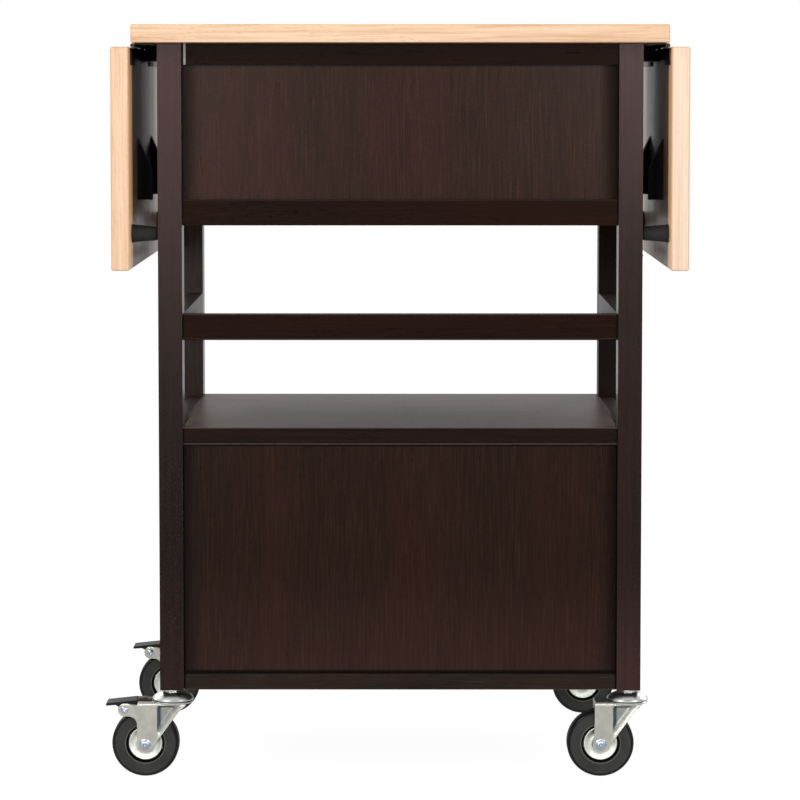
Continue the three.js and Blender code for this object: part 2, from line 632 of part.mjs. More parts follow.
function buildCasters() {
  for (const [depthName, sy] of [['back', -1], ['front', 1]]) {
    for (const [sideName, sx] of [['left', -1], ['right', 1]]) {
      const where = `${depthName}_${sideName}`;
      const braked = sx < 0;
      const swivel = new THREE.Group();
      swivel.position.set(sx * STEM_X, sy * STEM_Y, 0);
      island.add(swivel);
      place(swivel, `caster_stem_${where}`, casterStem(), zinc);
      place(swivel, `caster_fork_${where}`, casterFork(braked), zinc, -CASTER_TRAIL, 0, WHEEL.radius);
      place(swivel, `caster_wheel_${where}`, casterWheel(), rubber, -CASTER_TRAIL, 0, WHEEL.radius);
      if (braked) {
        place(swivel, `brake_lever_${where}`, brakeLever(), blackSteel,
          -CASTER_TRAIL + BRAKE_PIVOT[0], 0, WHEEL.radius + BRAKE_PIVOT[1]);
      }
    }
  }
}

// ---- assembly --------------------------------------------------------------

buildPosts();
buildTop();
buildBack();
buildDrawerBay();
buildMidShelf();
buildCabinet();
buildDrawer();
buildDoors();
buildEnd('right', 0);
buildEnd('left', Math.PI);
buildCasters();

export default island;
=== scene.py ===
import math

import bmesh
import bpy
from mathutils import Matrix, Vector
from mathutils.geometry import delaunay_2d_cdt


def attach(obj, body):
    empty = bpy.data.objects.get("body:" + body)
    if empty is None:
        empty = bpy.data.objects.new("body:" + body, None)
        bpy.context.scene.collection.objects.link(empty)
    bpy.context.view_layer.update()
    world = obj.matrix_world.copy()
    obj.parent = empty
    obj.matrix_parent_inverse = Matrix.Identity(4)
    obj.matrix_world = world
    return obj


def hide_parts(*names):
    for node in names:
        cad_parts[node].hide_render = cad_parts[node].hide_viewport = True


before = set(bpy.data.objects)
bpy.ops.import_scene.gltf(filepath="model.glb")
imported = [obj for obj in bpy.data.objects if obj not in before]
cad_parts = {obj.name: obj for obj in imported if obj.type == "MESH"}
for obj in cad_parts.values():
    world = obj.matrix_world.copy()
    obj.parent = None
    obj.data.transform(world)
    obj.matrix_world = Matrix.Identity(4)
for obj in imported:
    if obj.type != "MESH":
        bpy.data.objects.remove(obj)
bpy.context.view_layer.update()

# ---- Camera and studio -----------------------------------------------
# The island stands on a plain pale floor in soft white light, seen square on to
# its panelled back with a long lens from a little above the middle shelf.

scene = bpy.context.scene
scene.view_settings.view_transform = "Standard"

lens = bpy.data.cameras.new("camera")
lens.lens = 143.85
lens.sensor_width = 36.0
lens.shift_y = -0.12
camera = bpy.data.objects.new("camera", lens)
camera.location = (0.0067, -3.7822, 0.7863)
camera.rotation_euler = (math.radians(90 - 3.951), 0, math.radians(0.111))
scene.collection.objects.link(camera)
scene.camera = camera


def softbox(name, place, aim, width, height, power):
    """A soft panel light at a place, turned to face a point."""
    light = bpy.data.lights.new(name, "AREA")
    light.shape = "RECTANGLE"
    light.size, light.size_y = width, height
    light.energy = power
    lamp = bpy.data.objects.new(name, light)
    lamp.location = place
    lamp.rotation_euler = (Vector(aim) - Vector(place)).to_track_quat("-Z", "Y").to_euler()
    scene.collection.objects.link(lamp)


softbox("front_left", (-1.0, -4.4, 0.9), (0, 0, 0.75), 0.7, 1.1, 51)
softbox("front_right", (1.0, -4.4, 1.05), (0, 0, 0.75), 0.7, 0.8, 46)
softbox("key", (-2.0, -2.2, 2.3), (0, 0, 0.6), 1.1, 1.1, 32)
softbox("fill", (2.3, -2.2, 1.7), (0, 0, 0.6), 1.2, 1.4, 20)
softbox("rim_left", (-2.4, 1.2, 1.5), (0, 0, 0.4), 1.0, 1.6, 22)
softbox("rim_right", (2.4, 1.2, 1.5), (0, 0, 0.4), 1.0, 1.6, 22)
softbox("overhead", (0, 0.3, 3.0), (0, 0, 0.5), 2.2, 2.2, 14)
softbox("far_left", (-2.0, 3.2, 2.2), (0, 0, 0.5), 1.1, 1.1, 44)
softbox("far_right", (2.0, 3.2, 2.2), (0, 0, 0.5), 1.1, 1.1, 44)


class Wire:
    """A value on its way to a shader, so that finishes read as sums."""

    def __init__(self, finish, socket):
        self.finish = finish
        self.socket = socket

    def math(self, operation, *values):
        return self.finish.node("Math", {"operation": operation}, dict(enumerate(values)))

    def __add__(self, other):
        return self.math("ADD", self, other)

    def __sub__(self, other):
        return self.math("SUBTRACT", self, other)

    def __rsub__(self, other):
        return self.math("SUBTRACT", other, self)

    def __mul__(self, other):
        return self.math("MULTIPLY", self, other)

    def __truediv__(self, other):
        return self.math("DIVIDE", self, other)

    __radd__ = __add__
    __rmul__ = __mul__

    def floor(self):
        return self.math("FLOOR", self)

    def size(self):
        return self.math("ABSOLUTE", self)

    def ramp(self, low, high):
        """0 below low and 1 above high, with a smooth step between."""
        settings = {"interpolation_type": "SMOOTHSTEP"}
        return self.finish.node("MapRange", settings, {"Value": self, "From Min": low, "From Max": high})


class Finish:
    """A material under construction, on one Principled shader."""

    def __init__(self, name, **constants):
        self.material = bpy.data.materials.new(name)
        self.material.use_nodes = True
        self.tree = self.material.node_tree
        self.shader = self.tree.nodes["Principled BSDF"]
        for socket, value in constants.items():
            self.shader.inputs[socket.replace("_", " ")].default_value = value

    def node(self, kind, settings=None, values=None, out=0):
        node = self.tree.nodes.new("ShaderNode" + kind)
        for key, value in (settings or {}).items():
            setattr(node, key, value)
        for key, value in (values or {}).items():
            if isinstance(key, str):
                socket = next(s for s in node.inputs if s.name == key and s.enabled)
            else:
                socket = node.inputs[key]
            self.feed(socket, value)
        sockets = [s for s in node.outputs if s.enabled]
        socket = sockets[out] if isinstance(out, int) else next(s for s in sockets if s.name == out)
        return Wire(self, socket)

    def feed(self, socket, value):
        if isinstance(value, Wire):
            self.tree.links.new(value.socket, socket)
        else:
            socket.default_value = value

    def set(self, **sockets):
        for name, value in sockets.items():
            self.feed(self.shader.inputs[name.replace("_", " ")], value)

    def place(self):
        """The point on the piece, in metres."""
        return self.node("TexCoord", out="Object")

    def parts(self, vector):
        return [self.node("SeparateXYZ", None, {0: vector}, out=i) for i in range(3)]

    def noise(self, vector, scale, detail, rough):
        """Noise of a fineness of its own along each axis."""
        scaled = self.node("VectorMath", {"operation": "MULTIPLY"}, {0: vector, 1: scale})
        values = {"Vector": scaled, "Scale": 1.0, "Detail": detail, "Roughness": rough}
        return self.node("TexNoise", None, values)

    def along_fibres(self, vector, axis):
        """Noise drawn out along one axis, as a function of its fineness."""
        def run(across, lengthwise, detail, rough=0.55):
            scale = [across] * 3
            scale[axis] = lengthwise
            return self.noise(vector, scale, detail, rough)
        return run

    def blend(self, low, high, factor):
        """One colour turning into another."""
        values = {"Factor": factor, "A": low, "B": high}
        return self.node("Mix", {"data_type": "RGBA"}, values)

    def bump(self, height, distance, strength=1.0, under=None):
        values = {"Strength": strength, "Distance": distance, "Height": height}
        if under is not None:
            values["Normal"] = under
        return self.node("Bump", None, values)


def tint(red, green, blue):
    """A colour given as it looks, from 0 to 255, as the shader takes it."""
    linear = [v / 12.92 if v <= 0.04045 else ((v + 0.055) / 1.055) ** 2.4
              for v in (red / 255, green / 255, blue / 255)]
    return (*linear, 1.0)


studio_floor = bpy.data.meshes.new("studio_floor")
reach = 9.0
studio_floor.from_pydata([(-reach, -reach, 0), (reach, -reach, 0), (reach, reach, 0), (-reach, reach, 0)],
                         [], [(0, 1, 2, 3)])
floor = bpy.data.objects.new("studio_floor", studio_floor)
scene.collection.objects.link(floor)
paper = Finish("studio_paper", Roughness=0.9, Specular_IOR_Level=0.0, Emission_Strength=1.0)
rays = [paper.node("LightPath", out=ray) for ray in ("Is Camera Ray", "Is Glossy Ray", "Is Transmission Ray")]
seen = (rays[0] + rays[1] + rays[2]).ramp(0.0, 1.0)
away = paper.node("VectorMath", {"operation": "LENGTH"}, {0: paper.place()}, out="Value")
paper.set(Base_Color=paper.blend(tint(226, 226, 226), tint(84, 84, 84), seen),
          Emission_Color=paper.blend(tint(0, 0, 0), tint(250, 250, 250), seen),
          Alpha=1 - away.ramp(0.9, 2.4))
studio_floor.materials.append(paper.material)

world = bpy.data.worlds.new("studio_air")
world.use_nodes = True
scene.world = world
air = world.node_tree
rays = air.nodes.new("ShaderNodeLightPath")
shown = rays.outputs["Is Camera Ray"]
for ray in ("Is Glossy Ray", "Is Transmission Ray"):
    either = air.nodes.new("ShaderNodeMath")
    either.operation = "MAXIMUM"
    air.links.new(shown, either.inputs[0])
    air.links.new(rays.outputs[ray], either.inputs[1])
    shown = either.outputs[0]
strength = air.nodes.new("ShaderNodeMapRange")
strength.inputs["To Min"].default_value = 0.42
air.links.new(shown, strength.inputs["Value"])
air.links.new(strength.outputs["Result"], air.nodes["Background"].inputs["Strength"])
air.nodes["Background"].inputs["Color"].default_value = (1.0, 1.0, 1.0, 1.0)

# ---- Posts -----------------------------------------------------------
# Four square posts of plantation hardwood, stained the colour of coffee and
# lacquered. The rails are dowelled into them and a caster's stem enters each foot.

MM = 0.001
ALONG_X, ALONG_Y, ALONG_Z = 0, 1, 2


def grain(finish, along, fine=1.0, turns=False):
    """Streaks, pores and slow drifts of wood whose fibres run along one axis."""
    place = finish.place()
    if turns:
        # Boards that face along Y have their fibres along X.
        x, y, z = finish.parts(place)
        facing_y = finish.parts(finish.node("NewGeometry", out="Normal"))[1].size().ramp(0.5, 0.6)
        swapped = finish.node("CombineXYZ", None, {0: y, 1: x, 2: z})
        place = finish.node("Mix", {"data_type": "VECTOR"}, {"Factor": facing_y, "A": place, "B": swapped})

    run = finish.along_fibres(place, along)
    streaks = run(210.0 * fine, 5.0 * fine, 5.0, 0.62)
    fibres = run(900.0, 22.0, 3.0)
    drift = run(16.0, 2.2, 2.0)
    pores = run(1150.0, 95.0, 2.0).ramp(0.60, 0.70) * run(60.0, 9.0, 2.0).ramp(0.35, 0.65)
    flecks = run(620.0, 420.0, 2.0).ramp(0.56, 0.72)
    return streaks, fibres, drift, pores, flecks


def coffee_colour(finish, streaks, fibres, drift, pores, flecks, took=(1.0, 1.0, 1.0), uneven=0.5):
    """The stain's colour: a near black brown, redder where the wood took less."""
    def stain(*colour):
        return tint(*(channel * share for channel, share in zip(colour, took)))
    base = finish.blend(stain(25, 15, 11), stain(37, 22, 16), streaks.ramp(0.32, 0.70))
    red = finish.blend(base, stain(48, 24, 18), drift.ramp(0.42, 0.70) * uneven)
    fine = finish.blend(red, stain(60, 42, 34), fibres.ramp(0.50, 0.74) * 0.4)
    speckled = finish.blend(fine, stain(82, 44, 37), flecks)
    return finish.blend(speckled, stain(12, 7, 5), pores * 0.85)


def coffee(name, along, took, rough, gloss, flecked=0.1, shaded_ends=0.0, highlight_strip=None, top_sheen=0.0, fine=1.0,
           arris_highlights=(), seam_shades=(), uneven=0.5, sheen_low=0.36, foot=0.0):
    """Stained wood, with painted shade along the joint with the posts, 245 mm either side."""
    finish = Finish(name, IOR=1.45, Specular_IOR_Level=gloss)
    streaks, fibres, drift, pores, flecks = grain(finish, along, fine)
    colour = coffee_colour(finish, streaks, fibres, drift, pores, flecks * flecked, took, uneven)
    x, y, z = finish.parts(finish.place())
    if top_sheen or foot:
        # Painted light: the upper part is painted paler as a painted sheen, and the foot a little paler as a
        # painted reflection of the floor.
        paler = z.ramp(sheen_low, 0.92) * top_sheen + (1 - z.ramp(0.10, 0.26)) * foot
        colour = finish.blend(colour, tint(92, 64, 62), paler * (0.7 + 0.6 * streaks))
    # Painted shade on rails and panels: a thin dark line at the joint with the posts, and on the panels a
    # darker band towards them.
    joint_shade = x.size().ramp(0.2428, 0.2437)
    ends = x.size().ramp(0.220, 0.2445) * shaded_ends
    if shaded_ends:
        joint_shade = joint_shade + (1 - joint_shade) * ends
    if along == ALONG_X or shaded_ends:
        colour = finish.blend(colour, tint(3, 2, 2), joint_shade)
    for height, strength in arris_highlights:
        # Painted highlights: pale lines along the long arrises.
        painted_highlight = 1 - (z - height).size().ramp(0.4 * MM, 1.3 * MM)
        colour = finish.blend(colour, tint(112, 94, 88), painted_highlight * strength * (0.6 + 0.8 * drift))
    for height, reach in seam_shades:
        # Painted shade: dark lines in the joint between the panel and its rail.
        colour = finish.blend(colour, tint(5, 3, 3), 1 - (z - height).size().ramp(0.55 * reach, reach))
    if highlight_strip:
        # A painted highlight: a pale grey strip beside the joint.
        strip = x.ramp(highlight_strip[0] - 0.0004, highlight_strip[0]) * (1 - x.ramp(highlight_strip[1], highlight_strip[1] + 0.0006))
        colour = finish.blend(colour, tint(140, 136, 134), strip)
    relief = fibres * 0.4 + streaks * 0.3 + flecks * flecked - pores * 1.2
    dulled = 0.3 * ends * (1 + x.ramp(0.0, 0.1))
    finish.set(Base_Color=colour,
               Roughness=rough + 0.10 * streaks + 0.06 * drift + 0.18 * pores + 0.05 * flecks + dulled,
               Normal=finish.bump(relief, 0.00015, 0.7))
    return finish.material


coffee_x = coffee("coffee_stain_crosswise", ALONG_X, (0.74, 0.54, 0.34), 0.30, 0.03)
coffee_y = coffee("coffee_stain_lengthwise", ALONG_Y, (0.95, 0.84, 0.76), 0.30, 0.07)
coffee_z = coffee("coffee_stain_upright", ALONG_Z, (0.80, 0.68, 0.60), 0.20, 0.10, flecked=0.6, top_sheen=0.38)


def ease(piece, width, steps=3):
    """Sanded edges, rounded by a small radius."""
    edge = piece.modifiers.new("eased_edges", "BEVEL")
    edge.width = width
    edge.segments = steps
    edge.limit_method = "ANGLE"
    edge.angle_limit = math.radians(40)
    edge.harden_normals = True


def coat(mesh, material, creases=35):
    """One finish all over, shaded smooth between its creases."""
    mesh.materials.clear()
    mesh.materials.append(material)
    mesh.polygons.foreach_set("use_smooth", [True] * len(mesh.polygons))
    mesh.set_sharp_from_angle(angle=math.radians(creases))


def dress(name, material, width=1.2 * MM):
    """Finishes a CAD board as it stands."""
    coat(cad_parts[name].data, material)
    ease(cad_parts[name], width)


POST_EASED = 1.5 * MM
# The front right post's copy of the stain is darker, as painted shade.
post_stains = {
    "back_left": coffee("coffee_stain_flecked", ALONG_Z, (0.62, 0.50, 0.42), 0.20, 0.09, flecked=0.9,
                        top_sheen=0.37, foot=0.09),
    "back_right": coffee("coffee_stain_even", ALONG_Z, (0.76, 0.64, 0.57), 0.20, 0.10, flecked=0.5,
                         top_sheen=0.44, sheen_low=0.50, foot=0.21),
    "front_left": coffee_z,
    "front_right": coffee("coffee_stain_shaded", ALONG_Z, (0.60, 0.52, 0.46), 0.34, 0.04, flecked=0.4),
}
for post, stain in post_stains.items():
    dress("post_" + post, stain, POST_EASED)

# ---- Back of the island ----------------------------------------------
# Rails with thin panels between them close the drawer box and the cupboard at
# the back. The panels lie a little behind the rails, and both behind the posts.

RAIL_TOOK = (0.72, 0.52, 0.33)
PANEL_EASED = 0.3 * MM
dress("back_top_rail", coffee("coffee_top_rail", ALONG_X, RAIL_TOOK, 0.30, 0.03, arris_highlights=((0.831, 0.25),),
                              highlight_strip=(-0.2424, -0.2404)))
dress("back_lower_rail", coffee("coffee_lower_rail", ALONG_X, RAIL_TOOK, 0.30, 0.03, arris_highlights=((0.656, 0.12),)))
dress("mid_back_rail", coffee("coffee_shelf_rail", ALONG_X, RAIL_TOOK, 0.30, 0.03,
                              arris_highlights=((0.527, 0.12), (0.499, 0.12))))
# The drawer box's panel has a paler copy of the veneer than the cupboard's panel below it: painted light,
# brighter higher up.
veneer = coffee("coffee_veneer_drawer_box", ALONG_Z, (1.18, 1.04, 0.80), 0.18, 0.07, shaded_ends=0.75, fine=2.9,
                seam_shades=((0.807, 2.6 * MM),), uneven=0.3)
dress("back_upper_panel", veneer, PANEL_EASED)
veneer = coffee("coffee_veneer_cupboard", ALONG_Z, (0.94, 0.86, 0.72), 0.24, 0.05, shaded_ends=0.65, fine=2.9,
                seam_shades=((0.380, 3.2 * MM), (0.1185, 5.0 * MM)), uneven=0.25, foot=0.12)
dress("cabinet_back_panel", veneer, PANEL_EASED)

# ---- Drawer bay, middle shelf and cupboard boards --------------------
# Solid rails and boards of the same stained wood, their grain running along them.
# The deck carries the drawer, and the thin shelf board has a thicker lip in front.

for name in ("front_top_rail", "drawer_deck", "mid_shelf_board"):
    dress(name, coffee_x)
dress("cabinet_top_board", coffee("coffee_cupboard_top", ALONG_X, (0.66, 0.53, 0.42), 0.30, 0.045,
                                  arris_highlights=((0.399, 0.42), (0.380, 0.42))))
dress("cabinet_bottom_board", coffee("coffee_cupboard_floor", ALONG_X, (0.94, 1.26, 1.32), 0.30, 0.045,
                                     arris_highlights=((0.1005, 0.2),)))
for side in ("left", "right"):
    dress(f"mid_side_rail_{side}", coffee_y)

# ---- Side panels -----------------------------------------------------
# A framed panel closes each end of the drawer box and of the cupboard: two rails
# with a thinner upright panel between them. The upper one carries the prop's lugs.

ends = (("left", -1), ("right", 1))


def finished(name, body, shape, material, node, creases=35):
    """A shape in millimetres becomes a piece of the island."""
    bmesh.ops.remove_doubles(shape, verts=shape.verts, dist=1e-4)
    bmesh.ops.recalc_face_normals(shape, faces=shape.faces)
    mesh = bpy.data.meshes.new(name)
    shape.to_mesh(mesh)
    shape.free()
    mesh.transform(Matrix.Scale(MM, 4))
    coat(mesh, material, creases)
    piece = bpy.data.objects.new(name, mesh)
    scene.collection.objects.link(piece)
    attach(piece, body)
    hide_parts(node)
    return piece


def block(shape, low, high, round_by=0.8, steps=2):
    """A rectangular board with rounded edges, added to a shape between any two opposite corners."""
    middle = (Vector(low) + Vector(high)) / 2
    size = Vector([abs(v) for v in Vector(high) - Vector(low)])
    made = bmesh.ops.create_cube(shape, size=1.0, matrix=Matrix.LocRotScale(middle, None, size))
    edges = list({edge for vert in made["verts"] for edge in vert.link_edges})
    if round_by:
        bmesh.ops.bevel(shape, geom=edges, offset=round_by, segments=steps, profile=0.5, affect="EDGES")


def board(name, body, x, y, z, material, node, round_by=0.8, steps=2):
    shape = bmesh.new()
    block(shape, *zip(x, y, z), round_by, steps)
    return finished(name, body, shape, material, node)


def turned(shape, profile, place=Matrix(), steps=32, marks=None):
    """A profile of [radius, height] points turned about Z into a closed shape, then placed."""
    rings = []
    for k, (radius, height) in enumerate(profile):
        ring = []
        for i in range(steps if radius > 1e-6 else 1):
            turn = 2 * math.pi * i / steps
            point = Vector((radius * math.cos(turn), radius * math.sin(turn), height))
            ring.append(shape.verts.new(place @ point))
            if marks:
                ring[-1][shape.verts.layers.float["mark"]] = marks[k]
        rings.append(ring)
    closed = len(rings[0]) > 1
    pairs = list(zip(rings, rings[1:]))
    if closed:
        pairs.append((rings[-1], rings[0]))
    for lower, upper in pairs:
        for i in range(steps):
            j = (i + 1) % steps
            corners = [ring[k % len(ring)] for ring, k in ((lower, i), (lower, j), (upper, j), (upper, i))]
            face = [v for k, v in enumerate(corners) if v not in corners[:k]]
            if len(face) > 2:
                shape.faces.new(face)


def facing(axis):
    """Turns a shape made about Z so that it stands along another axis."""
    return Vector(axis).to_track_quat("Z", "Y").to_matrix().to_4x4()


def at(x, y, z):
    return Matrix.Translation((x, y, z))


PANEL_IN, PANEL_HALF = 245.0, 165.7
rail_out, panel_out = PANEL_IN + 18, PANEL_IN + 12
span = (-PANEL_HALF, PANEL_HALF)
# Each level's name and node, its foot, the heights of its low and high rails, and its head.
levels = (("upper", "side_upper_panel_", 627, 29, 24, 831),
          ("cabinet", "cabinet_side_panel_", 100.5, 29, 29, 399))
for side, sx in ends:
    for level, node, low, low_rail, high_rail, high in levels:
        node += side
        board(f"{level}_end_low_rail_{side}", "cabinet", (sx * PANEL_IN, sx * rail_out), span,
              (low, low + low_rail), coffee_y, node)
        board(f"{level}_end_high_rail_{side}", "cabinet", (sx * PANEL_IN, sx * rail_out), span,
              (high - high_rail, high), coffee_y, node)
        board(f"{level}_end_panel_{side}", "cabinet", (sx * PANEL_IN, sx * panel_out), span,
              (low + low_rail, high - high_rail), coffee_z, node, round_by=0.2)

# ---- Worktop ---------------------------------------------------------
# Pale hardwood staves glued edge to edge, clear lacquered on the top and the edges.
# The underside is stained a grey brown, painted paler than the frame's stain as painted light and sheen on a
# leaf's hanging face.


def stave_wood(name, along, stained_axis, stained_to, sign, edges=None, paler=0.0):
    """Clear lacquered staves, side by side across Y, stained on the hidden face.

    edges gives a leaf's middle and half thickness in X, and its middle and half length in Z.
    """
    finish = Finish(name, IOR=1.46, Specular_IOR_Level=0.35)
    place = finish.place()
    x, y, z = finish.parts(place)
    row = y / 0.0485 + 0.31
    stave = row.floor()
    each = finish.node("TexWhiteNoise", {"noise_dimensions": "1D"}, {"W": stave})
    shift = finish.node("CombineXYZ", None, {0: each * 3.1, 1: each * 1.7, 2: each * 2.3})
    moved = finish.node("VectorMath", {"operation": "ADD"}, {0: place, 1: shift})
    run = finish.along_fibres(moved, along)
    streaks = run(150.0, 4.0, 4.0, 0.6)
    fibres = run(800.0, 18.0, 3.0)
    drift = run(22.0, 2.5, 2.0)
    pores = run(1000.0, 110.0, 2.0).ramp(0.58, 0.68) * run(40.0, 12.0, 2.0).ramp(0.30, 0.6)
    joint = (row - stave - 0.5).size().ramp(0.488, 0.497)

    pale = finish.blend(tint(225, 194, 162), tint(196, 153, 116), streaks.ramp(0.34, 0.76))
    warm = finish.blend(pale, tint(222, 179, 144), drift.ramp(0.42, 0.70) * 0.6)
    toned = finish.blend(warm, tint(212, 168, 128), each.ramp(0.2, 1.0) * 0.3)
    fine = finish.blend(toned, tint(188, 138, 98), fibres.ramp(0.46, 0.72) * 0.5)
    pored = finish.blend(fine, tint(176, 124, 88), pores * 0.4)
    natural = finish.blend(pored, tint(150, 106, 74), joint * 0.55)
    natural = finish.blend(natural, tint(234, 218, 204), paler)
    if edges:
        # The rounded arrises are painted a little darker, as painted shade where they turn from the light.
        middle_x, half_x, middle_z, half_z = edges
        off_x = (x.size() - middle_x).size().ramp(half_x - 2.0 * MM, half_x - 0.3 * MM)
        off_y = y.size().ramp(218.0 * MM, 219.7 * MM)
        off_z = (z - middle_z).size().ramp(half_z - 2.0 * MM, half_z - 0.3 * MM)
        natural = finish.blend(natural, tint(196, 142, 100), ((off_x + off_z) * off_y + off_x * off_z) * 0.6)

    # The hidden face's stain is painted paler than the frame's, standing in for light and sheen on the leaf's
    # hanging face.
    bands = run(48.0, 1.2, 2.0)
    stain = finish.blend(tint(112, 82, 70), tint(180, 140, 120), streaks.ramp(0.36, 0.66))
    stain = finish.blend(stain, tint(196, 164, 146), bands.ramp(0.46, 0.72) * 0.6)
    stain = finish.blend(stain, tint(150, 130, 119), fibres.ramp(0.46, 0.72) * 0.5)
    stain = finish.blend(stain, tint(30, 22, 19), pores * 0.6)
    if edges:
        # Less stain reached the leaf's edge at the back of the island.
        stain = finish.blend(stain, tint(250, 200, 150), (0 - y).ramp(170.0 * MM, 174.0 * MM))
    line = (x, y, z)[stained_axis] * sign
    hidden = 1 - line.ramp(stained_to, stained_to + 0.5 * MM)
    relief = fibres * 0.3 + streaks * 0.2 - pores * 1.0 - joint * 2.0
    finish.set(Base_Color=finish.blend(natural, stain, hidden),
               Roughness=0.34 + 0.12 * drift + 0.15 * pores + (0.20 * streaks - 0.10) * hidden,
               Normal=finish.bump(relief, 0.0001, 0.5))
    return finish.material


TOP_UNDER, THICK = 831.3, 20.5
TOP_END, TOP_SIDE = 300, 220
STAIN_DEPTH = 0.4
top_wood = stave_wood("top_staves", ALONG_X, ALONG_Z, (TOP_UNDER + STAIN_DEPTH) * MM, 1)
board("top_slab", "cabinet", (-TOP_END, TOP_END), (-TOP_SIDE, TOP_SIDE), (TOP_UNDER, TOP_UNDER + THICK),
      top_wood, "top_board", round_by=1.8, steps=4)

# ---- Drop leaves -----------------------------------------------------
# One leaf of the same staves hangs at each end. Its hanging inner face, which is
# the underside when the leaf is up, is stained dark.

LEAF_IN = 302.3
LEAF_LOW, LEAF_HIGH = 577, 827
leaf_half, leaf_length = THICK / 2, LEAF_HIGH - LEAF_LOW
leaf_middle = (LEAF_LOW + LEAF_HIGH) / 2
leaf_edges = [v * MM for v in (LEAF_IN + leaf_half, leaf_half, leaf_middle, leaf_length / 2)]
for side, sx, paler in (("left", -1, 0.08), ("right", 1, 0.36)):
    leaf_wood = stave_wood("leaf_staves_" + side, ALONG_Z, ALONG_X, (LEAF_IN + STAIN_DEPTH) * MM, sx,
                           leaf_edges, paler)
    board("leaf_slab_" + side, "leaf_" + side, (sx * LEAF_IN, sx * (LEAF_IN + THICK)), (-TOP_SIDE, TOP_SIDE),
          (LEAF_LOW, LEAF_HIGH), leaf_wood, "leaf_" + side, round_by=2.6, steps=5)

# ---- Leaf hinges -----------------------------------------------------
# A long hinge of steel joins each leaf to the top: two thin flaps rolled
# round a pin in turn, each held by a row of screws. Its steel is painted dark, as painted shade.


def worn_metal(name, colour, dull, rough, scale=1.0, scratch=0.3):
    """Plated steel with cloudy plating and fine rub marks."""
    finish = Finish(name, Metallic=1.0)
    place = finish.place()
    cloud = finish.noise(place, (90 * scale,) * 3, 4.0, 0.6)
    speck = finish.noise(place, (1400 * scale,) * 3, 2.0, 0.5)
    rub = finish.noise(place, [scale * v for v in (500, 500, 60)], 3.0, 0.6)
    mark = finish.node("Attribute", {"attribute_name": "mark"}, out="Fac")
    plate = finish.blend(dull, colour, cloud.ramp(0.2, 0.8))
    fine = finish.blend(plate, dull, speck.ramp(0.60, 0.75) * 0.3)
    # A marked point is painted a dark blue grey, as painted shade in a fork's pressed recess.
    finish.set(Base_Color=finish.blend(fine, tint(44, 58, 68), mark),
               Roughness=rough + 0.08 * cloud.ramp(0.3, 0.7) + 0.06 * rub.ramp(0.5, 0.7),
               Normal=finish.bump(speck * 0.4 + rub * scratch, 0.00003, 0.3))
    return finish.material


hinge_steel = worn_metal("shaded_hinge_steel", tint(56, 52, 47), tint(40, 37, 34), 0.42)
HINGE_X, HINGE_Z, BARREL = 299.5, 828.5, 2.5
KNUCKLES, HINGE_LENGTH, FLAP = 9, 396.0, 22.0
CLEAT_HALF = 60.0


def screw_head(shape, place):
    """A flat screw head with a cross recess suggested by a sunk centre."""
    turned(shape, [(0, 0), (3.4, 0), (3.4, 0.18), (3.0, 0.42), (1.7, 0.5), (1.2, 0.1), (0, 0.02)], place, 20)


pitch, half = HINGE_LENGTH / KNUCKLES, HINGE_LENGTH / 2
for side, sx in ends:
    pin = at(sx * HINGE_X, 0, HINGE_Z) @ facing((0, 1, 0))
    for moving in (False, True):
        shape = bmesh.new()
        for i in range(KNUCKLES):
            if (i % 2 == 1) != moving:
                continue
            low = -half + i * pitch + 0.15
            high = low + pitch - 0.3
            turned(shape, [(1.3, low), (BARREL - 0.3, low), (BARREL, low + 0.3), (BARREL, high - 0.3),
                           (BARREL - 0.3, high), (1.3, high)], pin, 24)
            x = (HINGE_X + 1.3, HINGE_X + 2.5) if moving else (HINGE_X - 3.4, HINGE_X)
            z = (HINGE_Z - 3.4, HINGE_Z) if moving else (HINGE_Z + 1.3, HINGE_Z + 2.5)
            block(shape, (sx * x[0], low, z[0]), (sx * x[1], high, z[1]), 0)
        if moving:
            x = (sx * (HINGE_X + 1.3), sx * (HINGE_X + 2.5))
            for low, high in ((-half, -CLEAT_HALF - 2), (CLEAT_HALF + 2, half)):
                block(shape, (x[0], low, HINGE_Z - FLAP), (x[1], high, HINGE_Z - 3.1), 0.3)
            block(shape, (x[0], -half, HINGE_Z - 5.5), (x[1], half, HINGE_Z - 3.1), 0.2)
            for y in (-180, -144, -108, -72, 72, 108, 144, 180):
                screw_head(shape, at(sx * (HINGE_X + 1.3), y, HINGE_Z - 13) @ facing((-sx, 0, 0)))
        else:
            cap = half - 0.15
            turned(shape, [(0, -cap), (1.2, -cap), (1.2, cap), (0, cap)], pin, 16)
            block(shape, (sx * (HINGE_X - FLAP), -half, HINGE_Z + 1.3),
                  (sx * (HINGE_X - 3.1), half, HINGE_Z + 2.5), 0.3)
            for y in range(-180, 181, 36):
                screw_head(shape, at(sx * (HINGE_X - 14), y, HINGE_Z + 1.3) @ facing((0, 0, -1)))
        kind = "flap" if moving else "plate"
        body = "leaf_" + side if moving else "cabinet"
        finished(f"hinge_{kind}_{side}", body, shape, hinge_steel, f"leaf_hinge_{kind}_{side}")

# ---- Cleats, wedges and bumpers --------------------------------------
# Moulded black blocks: a cleat under the top at each end and two wedges on each
# leaf. Two rubber bumpers on each leaf rest against the posts.


def moulded(name, colour, bright, rough, level=0.4, scale=1.0):
    """A moulded plastic or rubber with a fine even skin and some dust."""
    finish = Finish(name, IOR=1.5, Specular_IOR_Level=level)
    place = finish.place()
    skin = finish.noise(place, (2600 * scale,) * 3, 2.0, 0.5)
    cloud = finish.noise(place, (45 * scale,) * 3, 3.0, 0.6)
    dusty = cloud.ramp(0.35, 0.7) * 0.7 + skin.ramp(0.5, 0.8) * 0.25
    finish.set(Base_Color=finish.blend(colour, bright, dusty),
               Roughness=rough + 0.14 * cloud,
               Normal=finish.bump(skin, 0.00006, 0.5))
    return finish.material


